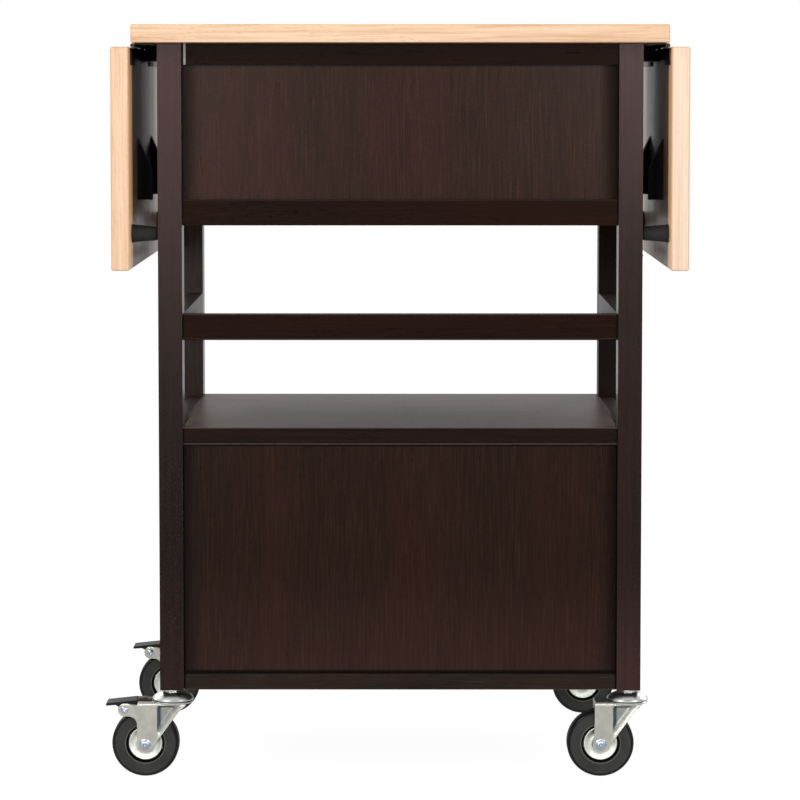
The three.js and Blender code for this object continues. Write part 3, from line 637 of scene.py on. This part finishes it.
black_plastic = moulded("black_moulding", tint(9, 8, 8), tint(18, 17, 17), 0.5, 0.08)
bumper_rubber = moulded("bumper_rubber", tint(28, 28, 27), tint(42, 42, 41), 0.6, 0.15)
for side, sx in ends:
    dress("hinge_cleat_" + side, black_plastic, 0.7 * MM)
    for depth, sy in (("back", -1), ("front", 1)):
        dress(f"leaf_catch_{side}_{depth}", black_plastic, 0.7 * MM)
        shape = bmesh.new()
        foot = at(sx * 302.0, sy * 183, HINGE_Z - 211) @ facing((-sx, 0, 0))
        turned(shape, [(0, 0), (10.0, 0), (10.5, 0.6), (10.4, 1.9), (9.9, 2.6), (8.0, 26.0), (7.6, 28.2),
                       (6.6, 29.4), (4.2, 29.7), (3.6, 29.3), (3.2, 22.0), (0, 21.6)], foot, 32)
        finished(f"bumper_{side}_{depth}", "leaf_" + side, shape, bumper_rubber,
                 f"leaf_bumper_{side}_{depth}")

# ---- Leaf props ------------------------------------------------------
# A bail of black enamelled round bar swings out from two lugs on each end panel
# and holds the leaf up. A sleeve covers its cross bar where the leaf rests.

PROP_X, PROP_Z, PROP_LENGTH = 277.0, 738.5, 151.12
LEG_Y, BEND, BAR = 70.0, 7.0, 3.5
LUG_Y, LUG_HALF, LUG_ROUND, LUG_ROOT = 80, 4, 8, 256.0
# The ways in which Blender cuts up an outline.
HULL, INSIDE, WHOLE = 0, 1, 4
black_steel = moulded("black_enamel", tint(22, 21, 20), tint(34, 32, 31), 0.3, 0.5)
sleeve_rubber = moulded("sleeve_rubber", tint(30, 29, 28), tint(44, 43, 41), 0.55, 0.3)


def circle(x, y, radius, steps=20):
    return [(x + radius * math.cos(a), y + radius * math.sin(a))
            for a in (2 * math.pi * k / steps for k in range(steps))]


def arc(x, y, across, up, turn, steps):
    """The points within an arc that begins straight above or below its centre."""
    return [(x + across * math.sin(a), y + up * math.cos(a))
            for a in (turn * k / steps for k in range(1, steps))]


def cut_up(outline, hole, filling, inner=()):
    """A flat outline with a hole, cut up into faces, each with its middle."""
    numbers = list(range(len(outline) + len(hole)))
    loops = [numbers[:len(outline)], numbers[len(outline):]]
    rims = [pair for loop in loops for pair in zip(loop, loop[1:] + loop[:1])]
    flat = delaunay_2d_cdt([Vector(p) for p in (*outline, *hole, *inner)], rims,
                           loops if filling == WHOLE else [], filling, 1e-5)
    points, faces = flat[0], flat[2]
    return points, [(face, sum((points[i] for i in face), Vector((0, 0))) / len(face)) for face in faces]


def skin_over(shape, layers, faces):
    """Faces on two layers of the same points, and walls along their open edges."""
    used = set()
    for face in faces:
        shape.faces.new([layers[0][i] for i in face])
        shape.faces.new([layers[1][i] for i in reversed(face)])
        used.update(zip(face, face[1:] + face[:1]))
    for a, b in used:
        if (b, a) not in used:
            shape.faces.new((layers[0][a], layers[1][a], layers[1][b], layers[0][b]))


def drilled(shape, outline, centre, radius, depths, filling=INSIDE, sx=1, lift=0.0):
    """A flat plate from one depth to another, with a round hole."""
    points, faces = cut_up(outline, circle(*centre, radius), filling)
    layers = [[shape.verts.new((sx * x, depth, lift + z)) for x, z in points] for depth in depths]
    solid = [face for face, middle in faces if (middle - Vector(centre)).length > radius - 0.1]
    skin_over(shape, layers, solid)


for side, sx in ends:
    shape = bmesh.new()
    pivot = at(sx * PROP_X, 0, PROP_Z)
    for sy in (-1, 1):
        # Pivot pin, bend and leg are one bar, bent through a quarter circle.
        route = [Vector((0, sy * 84.0, 0)), Vector((0, sy * (LEG_Y + BEND), 0))]
        for step in range(1, 8):
            turn = math.pi / 2 * step / 7
            out = LEG_Y + BEND - BEND * math.sin(turn)
            route.append(Vector((0, sy * out, -BEND * (1 - math.cos(turn)))))
        route.append(Vector((0, sy * LEG_Y, -PROP_LENGTH)))
        ring_before = None
        for i, point in enumerate(route):
            ahead = route[min(i + 1, len(route) - 1)] - route[max(i - 1, 0)]
            across = pivot @ (Matrix.Translation(point) @ facing(ahead))
            radius = BAR - 0.6 if i == 0 else BAR
            ring = [shape.verts.new(across @ Vector((x, y, 0))) for x, y in circle(0, 0, radius)]
            if ring_before:
                nearest = min(range(20), key=lambda k: (ring[k].co - ring_before[0].co).length)
                ring = ring[nearest:] + ring[:nearest]
                for k in range(20):
                    shape.faces.new((ring_before[k], ring_before[(k + 1) % 20], ring[(k + 1) % 20], ring[k]))
            else:
                shape.faces.new(ring)
            ring_before = ring
        shape.faces.new(ring_before)
    finished("prop_bar_" + side, "prop_" + side, shape, black_steel, "leaf_prop_" + side)

    shape = bmesh.new()
    cross = at(sx * PROP_X, 0, PROP_Z - PROP_LENGTH) @ facing((0, 1, 0))
    turned(shape, [(0, -100), (1.8, -100), (2.4, -99.4), (2.4, -86), (3.4, -86), (4.0, -85.2), (4.0, 85.2),
                   (3.4, 86), (2.4, 86), (2.4, 99.4), (1.8, 100), (0, 100)], cross, 24)
    finished("prop_sleeve_" + side, "prop_" + side, shape, sleeve_rubber,
             "leaf_prop_" + side)

    shape = bmesh.new()
    for y in (-LUG_Y, LUG_Y):
        outline = [(LUG_ROOT, -LUG_ROUND), (PROP_X, -LUG_ROUND)]
        outline += arc(PROP_X, 0, LUG_ROUND, -LUG_ROUND, math.pi, 16)
        outline += [(PROP_X, LUG_ROUND), (LUG_ROOT, LUG_ROUND)]
        # Cut up into whole faces, a lug stops short of the far side of its hole.
        drilled(shape, outline, (PROP_X, 0), 4.0, (y - LUG_HALF, y + LUG_HALF), WHOLE, sx, PROP_Z)
    lug = finished("prop_lugs_" + side, "cabinet", shape, black_steel,
                   "side_upper_panel_" + side)
    ease(lug, 0.6 * MM, 2)

# ---- Drawer ----------------------------------------------------------
# A stained front on a pale open box that slides on the deck, with one turned
# knob. The box is plain lacquered wood.


def box_wood(name, along):
    finish = Finish(name, IOR=1.45, Specular_IOR_Level=0.3)
    streaks, fibres, drift, pores, flecks = grain(finish, along, turns=True)
    pale = finish.blend(tint(226, 198, 158), tint(206, 172, 128), streaks.ramp(0.35, 0.70))
    fine = finish.blend(pale, tint(190, 152, 110), fibres.ramp(0.54, 0.76) * 0.4)
    finish.set(Base_Color=finish.blend(fine, tint(160, 120, 84), pores * 0.5),
               Roughness=0.48 + 0.12 * drift,
               Normal=finish.bump(fibres * 0.4 - pores, 0.0001, 0.5))
    return finish.material


FRONT_FACE = 200.0
nickel = worn_metal("brushed_nickel", tint(206, 200, 190), tint(172, 166, 156), 0.22)
dress("drawer_front", coffee_x)
dress("drawer_box", box_wood("drawer_box_wood", ALONG_Y), 0.8 * MM)


def knob(name, body, x, z, node):
    """A turned metal knob that stands on the front."""
    shape = bmesh.new()
    profile = [(0, 0), (7.6, 0), (8.0, 0.5), (7.6, 1.8), (5.8, 3.4), (5.0, 5.4), (5.0, 8.0), (6.2, 9.4),
               (10.0, 10.2), (12.6, 11.6), (13.8, 13.4), (14.0, 14.6), (13.4, 16.6), (11.6, 18.0),
               (8.0, 19.0), (3.6, 19.4), (0, 19.5)]
    turned(shape, profile, at(x, FRONT_FACE + 0.3, z) @ facing((0, 1, 0)), 40)
    finished(name, body, shape, nickel, node, creases=50)


KNOB_Z = 731.5
knob("knob_drawer", "drawer", 0, KNOB_Z, "drawer_knob")

# ---- Doors -----------------------------------------------------------
# Two framed doors close the cupboard: upright stiles, cross rails between them and
# a sunk panel. Each turns on two short barrel hinges screwed to the post.

DOOR_LOW, DOOR_HIGH, DOOR_BACK = 120.5, 378.0, 182.0
STILE, DOOR_IN, DOOR_OUT = 45.0, 1.0, 243.0
HINGE_HALF, PLATE_HALF = 7.35, 22.5
for side, sx in ends:
    body = node = "door_" + side
    depth, height = (DOOR_BACK, FRONT_FACE), (DOOR_LOW, DOOR_HIGH)
    for part, x in (("outer", (DOOR_OUT - STILE, DOOR_OUT)), ("inner", (DOOR_IN, DOOR_IN + STILE))):
        x = [sx * v for v in x]
        board(f"door_{part}_stile_{side}", body, x, depth, height, coffee_z, node)
    across = [sx * (DOOR_IN + STILE), sx * (DOOR_OUT - STILE)]
    for part, z in (("low", (DOOR_LOW, DOOR_LOW + STILE)), ("high", (DOOR_HIGH - STILE, DOOR_HIGH))):
        board(f"door_{part}_rail_{side}", body, across, depth, z, coffee_x, node)
    board(f"door_panel_{side}", body, across, (DOOR_BACK, FRONT_FACE - 6),
          (DOOR_LOW + STILE, DOOR_HIGH - STILE), coffee_z, node, round_by=0.2)
    knob("knob_door_" + side, body, sx * 24, DOOR_HIGH - 60, "door_knob_" + side)

    shape = bmesh.new()
    for z in (DOOR_LOW + 50, DOOR_HIGH - 50):
        barrel = [(1.7, -HINGE_HALF), (2.2, -HINGE_HALF), (2.5, -7.05), (2.5, 7.05), (2.2, HINGE_HALF),
                  (1.7, HINGE_HALF)]
        turned(shape, barrel, at(sx * 244, 202.8, z), 24)
        block(shape, (sx * 228.0, FRONT_FACE, z - PLATE_HALF), (sx * 240.9, 201.5, z + PLATE_HALF), 0.3)
        block(shape, (sx * 240.6, 200.3, z - HINGE_HALF), (sx * 244, 201.5, z + HINGE_HALF), 0)
        for dz in (-14, 14):
            screw_head(shape, at(sx * 234, 201.5, z + dz) @ facing((0, 1, 0)))
    finished("door_hinge_" + side, body, shape, nickel, node)

# ---- Casters ---------------------------------------------------------
# Threaded stem casters: a domed upper race under the post, a pressed fork that
# turns on ball bearings below it, and a rubber wheel on a pressed hub. Both left
# ones have a brake lever riveted between the fork's cheeks.

caster_zinc = worn_metal("caster_zinc", tint(154, 153, 145), tint(143, 142, 135), 0.32, 1.3, 0.2)
bright_zinc = worn_metal("bright_zinc", tint(182, 184, 182), tint(160, 162, 160), 0.25, 1.2, 0.1)
hub_zinc = worn_metal("hub_zinc", tint(192, 194, 186), tint(160, 163, 156), 0.36, 1.2, 0.1)
bolt_zinc = worn_metal("bolt_zinc", tint(160, 168, 175), tint(130, 139, 148), 0.24, 1.2, 0.1)
TRAIL, AXLE_Z, STEM_X, STEM_Y = 31.0, 38.0, 258.5, 183.0
# Heights and lengths on a fork are counted from its wheel's axle.
CREST, FORK_OUT, SHEET = 48.5, 17.0, 2.5
BOSS, SHOULDER, ROUND_END = 9.0, (38.0, 37.0), (6.6, -6.1)
TAB_X, TAB_TOP, BRAKE_PIVOT = -9.0, 47.0, (-23, 39.5)


def tyre_rubber(name):
    """Charcoal rubber, with rings round the axle painted black as painted shade and a pale lip as a painted
    highlight.
    """
    finish = Finish(name, IOR=1.5, Specular_IOR_Level=0.14)
    place = finish.place()
    cloud = finish.noise(place, (60.0,) * 3, 4.0, 0.6)
    skin = finish.noise(place, (2200.0,) * 3, 2.0, 0.5)
    scuff = finish.noise(place, (170.0, 40.0, 170.0), 3.0, 0.6)
    z = finish.parts(place)[2]
    dust = 1 - z.ramp(0.0, 0.012)
    # Half marked is painted black as painted shade, and fully marked is polished too. A lip marked below zero
    # is painted pale, a painted highlight.
    mark = finish.node("Attribute", {"attribute_name": "mark"}, out="Fac")
    painted_highlight = (0 - mark).ramp(0.0, 0.5)
    colour = finish.blend(tint(41, 41, 40), tint(50, 50, 48), cloud.ramp(0.3, 0.7))
    scuffed = finish.blend(colour, tint(72, 70, 66), scuff.ramp(0.58, 0.78) * 0.2 + dust * 0.06)
    scuffed = finish.blend(scuffed, tint(112, 112, 106), painted_highlight * (0.55 + 0.6 * (scuff - 0.3)))
    finish.set(Base_Color=finish.blend(scuffed, tint(9, 9, 9), mark.ramp(0.0, 0.5)),
               Roughness=0.54 + 0.10 * cloud - 0.44 * mark.ramp(0.6, 1.0),
               Normal=finish.bump(skin + cloud * 0.6, 0.00008, 0.5))
    return finish.material


tyre_black = tyre_rubber("tyre_rubber")
lever_black = moulded("lever_black", tint(10, 9, 9), tint(24, 22, 21), 0.42, 0.14)

# Radius, height and mark: how polished it is there and how dark it is painted, as painted shade; a mark below
# zero paints a highlight on the lip.
TYRE = [(19.6, 5.4, 0.5), (20.6, 5.2, 0.5), (21.3, 5.8, 0.5), (21.6, 10.2, 0.5), (21.9, 11.4, 0.2),
        (22.3, 12.0, -0.5), (22.8, 12.0, -0.3), (23.3, 11.9, 0), (24.2, 11.7, 0), (33.6, 11.7, 0),
        (34.5, 11.6, 0.3), (35.0, 11.45, 1), (36.0, 10.9, 1), (36.8, 10.2, 0.8), (37.6, 8.8, 0.5),
        (38.0, 6.8, 0.5), (38.0, 0.5, 0.3), (37.8, 0.3, 0.3)]
HUB = [(4.0, 13.4), (7.4, 13.4), (8.1, 13.0), (8.5, 12.2), (8.7, 9.6), (9.4, 8.4), (10.8, 7.9), (13.6, 8.0),
       (16.0, 8.5), (17.8, 9.1), (18.6, 9.2), (19.1, 8.9), (19.35, 8.2), (19.4, 5.6)]


def slope(value, low, high):
    """0 at low and 1 at high, with a smooth step between."""
    t = min(max((value - low) / (high - low), 0), 1)
    return t * t * (3 - 2 * t)


def cheek_depth(u, w):
    """How far a point of a cheek is pressed in (-) or rolled out (+), and how dark it is painted there, as
    painted shade in the pressed recess and its crease.
    """
    # The rear edge runs down from the shoulder to the round end at the axle.
    tangent = Vector(SHOULDER) - Vector(ROUND_END)
    normal = Vector((-tangent.y, tangent.x)).normalized()
    inside = (Vector((u, w)) - Vector(ROUND_END)).dot(normal)
    flat = slope(u, 13.8, 15.6) * slope(inside, 1.6, 9.0)
    pressed = flat * slope(w, 6.0, 16.0) * slope(44.5 - w, 0.0, 2.5)
    rolled = slope(1.6 - inside, 0.0, 1.6) * slope(w, 2.0, 8.0)
    crease = slope(19.6 - u, 0.0, 3.2)
    return -2.6 * pressed + 0.5 * rolled, pressed * (0.38 + 0.62 * crease)


def cheek_outline(braked):
    """The outline of one cheek, about the axle, from the front of the bend round to the back."""
    if braked:
        pivot_x, pivot_z = BRAKE_PIVOT
        points = arc(pivot_x, pivot_z, -7.5, 7.5, math.pi, 14) + [(-23.0, 32.0), (-18.5, 32.0)]
        points += arc(-18.5, 22.5, 9.5, 9.5, math.pi / 2, 8) + [(TAB_X, 22.5), (TAB_X, 12.0)]
    else:
        points = [(-7.0, 44.0), (-7.0, 30.0), (-7.4, 14.0)]
    start = math.pi if braked else math.pi * 0.94
    across, up = SHOULDER
    tangent = math.atan2(up, across) - math.acos(BOSS / math.hypot(across, up)) + 2 * math.pi
    turns = [start + (tangent - start) * k / 22 for k in range(23)]
    points += [(BOSS * math.cos(a), BOSS * math.sin(a)) for a in turns]
    return points + [SHOULDER, (42.5, 41.2), (45.6, 44.0)]


def pressed_fork(braked):
    """One fork, bent down from a flat blank: a plate with a cheek at each side."""
    bend = 3.2
    flat_half, drop = FORK_OUT - bend, CREST - bend
    hinge_line = flat_half + bend * math.pi / 2
    cheek = cheek_outline(braked)
    if braked:
        # The tab reaches a little way into the bend, ahead of the plate.
        front, tab = 9.0, hinge_line + drop - TAB_TOP
        side_points = [(TAB_X, hinge_line), (TAB_X, tab + 1.2), (BRAKE_PIVOT[0], tab)]
        side_points += [(u, hinge_line + drop - w) for u, w in cheek]
    else:
        front = 7.0
        side_points = [(u, hinge_line + max(drop - w, 0.0)) for u, w in cheek]
    right = [(46.5, hinge_line + 0.3), (46.5, 0.0)]
    half_outline = [(-front, 0.0), (-front, hinge_line - 0.4)] + side_points + right
    outline = half_outline + [(u, -v) for u, v in reversed(half_outline[1:-1])]
    hole = circle(TRAIL, 0, 4.8, 24)

    def inside(point, polygon):
        hit = False
        for (ax, ay), (bx, by) in zip(polygon, polygon[1:] + polygon[:1]):
            if (ay > point[1]) != (by > point[1]) and point[0] < (bx - ax) * (point[1] - ay) / (by - ay) + ax:
                hit = not hit
        return hit

    def near(point, polygon, gap):
        p = Vector(point)
        for a, b in zip(polygon, polygon[1:] + polygon[:1]):
            a, b = Vector(a), Vector(b)
            span = b - a
            t = min(max((p - a).dot(span) / max(span.length_squared, 1e-9), 0), 1)
            if (p - a - t * span).length < gap:
                return True
        return False

    grid = []
    for i in range(-40, 50):
        for j in range(-78, 79):
            u, v = i * 1.5 + (0.75 if j % 2 else 0), j * 1.3
            if abs(v) > 76:
                continue
            within = inside((u, v), outline) and not inside((u, v), hole)
            if within and not near((u, v), outline, 0.8) and not near((u, v), hole, 0.8):
                grid.append((u, v))
    points, faces = cut_up(outline, hole, HULL, grid)

    def folded(point, inset):
        u, v = point
        far, sign = abs(v), 1 if v > 0 else -1
        if far <= flat_half:
            return Vector((u, v, CREST - inset))
        if far <= hinge_line:
            a = (far - flat_half) / bend
            r = bend - inset
            return Vector((u, sign * (flat_half + r * math.sin(a)), CREST - bend + r * math.cos(a)))
        w = drop - (far - hinge_line)
        return Vector((u, sign * (FORK_OUT - inset + cheek_depth(u, w)[0]), w))

    def shade(point):
        u, v = point
        return cheek_depth(u, drop - (abs(v) - hinge_line))[1] if abs(v) > hinge_line else 0.0

    shape = bmesh.new()
    mark = shape.verts.layers.float.new("mark")
    skins = [[shape.verts.new(folded(p, inset)) for p in points] for inset in (0.0, SHEET)]
    for vert, point in zip(skins[0], points):
        vert[mark] = shade(point)
    solid = [face for face, middle in faces if inside(middle, outline) and not inside(middle, hole)]
    skin_over(shape, skins, solid)
    loose = [v for v in shape.verts if not v.link_faces]
    bmesh.ops.delete(shape, geom=loose, context="VERTS")
    return shape


def moved(shape, place):
    shape.transform(place)
    return shape


blanks = {braked: pressed_fork(braked) for braked in (False, True)}

for depth, sy in (("back", -1), ("front", 1)):
    for side, sx in ends:
        where = f"{depth}_{side}"
        stem = at(sx * STEM_X, sy * STEM_Y, 0)
        axle = at(sx * STEM_X - TRAIL, sy * STEM_Y, AXLE_Z)
        turning, rolling = "caster_" + where, "wheel_" + where
        braked = side == "left"

        # Wheel: the tyre's two sides and tread, and a hub pressed from two shells.
        lying = axle @ facing((0, 1, 0))
        shape = bmesh.new()
        shape.verts.layers.float.new("mark")
        turned(shape, [(r, h) for r, h, mark in TYRE] + [(r, -h) for r, h, mark in reversed(TYRE)], lying, 96,
               [mark for r, h, mark in TYRE + TYRE[::-1]])
        finished("tyre_" + where, rolling, shape, tyre_black, "caster_wheel_" + where, creases=50)
        shape = bmesh.new()
        turned(shape, HUB + [(r, -h) for r, h in reversed(HUB)], lying, 64)
        finished("hub_" + where, rolling, shape, hub_zinc, "caster_wheel_" + where, creases=50)

        # Fork with its lower race, axle bolt and nut.
        fork = finished("fork_" + where, turning, moved(blanks[braked].copy(), axle), caster_zinc,
                        "caster_fork_" + where, creases=40)
        ease(fork, 0.35 * MM, 2)
        shape = bmesh.new()
        top = AXLE_Z + CREST
        turned(shape, [(4.8, top - 1.2), (20.6, top - 1.2), (22.2, top - 2.4), (22.9, top - 2.0),
                       (23.0, top - 1.0), (22.4, top - 0.2), (20.5, top), (4.8, top)], stem, 64)
        finished("race_" + where, turning, shape, bright_zinc, "caster_fork_" + where)
        shape = bmesh.new()
        for end in (-1, 1):
            seat = lying @ facing((0, 0, end)) @ at(0, 0, FORK_OUT)
            turned(shape, [(0, 0), (6.6, 0), (6.7, 0.5), (6.2, 0.8), (0, 0.8)], seat, 32)
            turned(shape, [(0, 0.6), (6.0, 0.6), (6.0, 2.4), (5.2, 3.1), (3.4, 3.4), (2.2, 3.5), (1.6, 2.6),
                           (0, 2.3)], seat @ Matrix.Rotation(math.radians(11), 4, "Z"), 6)
        turned(shape, [(0, -FORK_OUT), (3.4, -FORK_OUT), (3.4, FORK_OUT), (0, FORK_OUT)], lying, 20)
        if braked:
            for end in (-1, 1):
                pivot = axle @ at(BRAKE_PIVOT[0], 0, BRAKE_PIVOT[1])
                rivet = pivot @ facing((0, end, 0)) @ at(0, 0, FORK_OUT)
                turned(shape, [(0, -2.4), (2.5, -2.4), (2.5, 0), (4.2, 0.05), (4.1, 0.6), (3.2, 1.3),
                               (1.6, 1.6), (1.1, 1.2), (0, 1.1)], rivet, 28)
        finished("axle_" + where, turning, shape, bolt_zinc, "caster_fork_" + where)

        # Stem, nut and domed upper race, which stay still in the post.
        shape = bmesh.new()
        dome = top + 0.3
        turned(shape, [(0, top - 6.8), (5.6, top - 6.8), (7.2, top - 5.8), (7.5, top - 4.4), (7.4, top - 3.4),
                       (4.0, top - 3.3), (4.0, dome), (21.8, dome), (23.1, dome + 0.5), (23.5, dome + 1.6),
                       (23.0, dome + 2.9), (21.4, dome + 4.7), (18.8, dome + 6.6), (15.6, dome + 8.2),
                       (12.4, dome + 9.1), (9.4, dome + 9.5), (0, dome + 9.5)], stem, 64)
        finished("upper_race_" + where, "cabinet", shape, bright_zinc, "caster_stem_" + where,
                 creases=40)
        shape = bmesh.new()
        turned(shape, [(0, 95.5), (8.6, 95.5), (8.9, 96.0), (8.9, 99.0), (8.3, 99.6), (0, 99.6)], stem, 6)
        thread = [(0, 99.0)]
        thread += [(5.0 if k % 2 else 4.55, 99.5 + 0.6 * k) for k in range(58)]
        turned(shape, thread + [(4.0, 135), (0, 135)], stem, 24)
        finished("stem_" + where, "cabinet", shape, bright_zinc, "caster_stem_" + where, creases=30)

        # Brake: a spring strip on the fork, and the pedal with a neck between the cheeks.
        if braked:
            shape = bmesh.new()
            block(shape, (-8.4, -9.5, CREST + 0.15), (7.2, 9.5, CREST + 1.5), 0.5)
            block(shape, (-8.4, -6.5, CREST + 1.3), (2.0, 6.5, CREST + 2.9), 0.6)
            finished("brake_spring_" + where, turning, moved(shape, axle), hinge_steel,
                     "caster_fork_" + where)
            shape = bmesh.new()
            profile = [(-44.4, 44.6), (-44.4, 45.9), (-43.7, 46.5), (-42.5, 46.75), (-10.8, 50.1),
                       (-9.5, 49.9), (-9.0, 49.2), (-9.6, 47.9), (-12.2, 47.2), (-15.0, 45.0),
                       (-16.6, 42.2), (-17.0, 39.0), (-18.6, 35.4), (-21.6, 33.6), (-25.2, 33.9),
                       (-28.0, 36.2), (-29.2, 40.0), (-30.6, 42.8), (-33.6, 44.5), (-42.9, 43.8),
                       (-44.0, 43.9)]
            drilled(shape, profile, BRAKE_PIVOT, 3.0, (-13.5, 13.5))
            lever = finished("lever_" + where, "brake_" + depth, moved(shape, axle), lever_black,
                             "brake_lever_" + where)
            ease(lever, 0.7 * MM, 2)

for blank in blanks.values():
    blank.free()
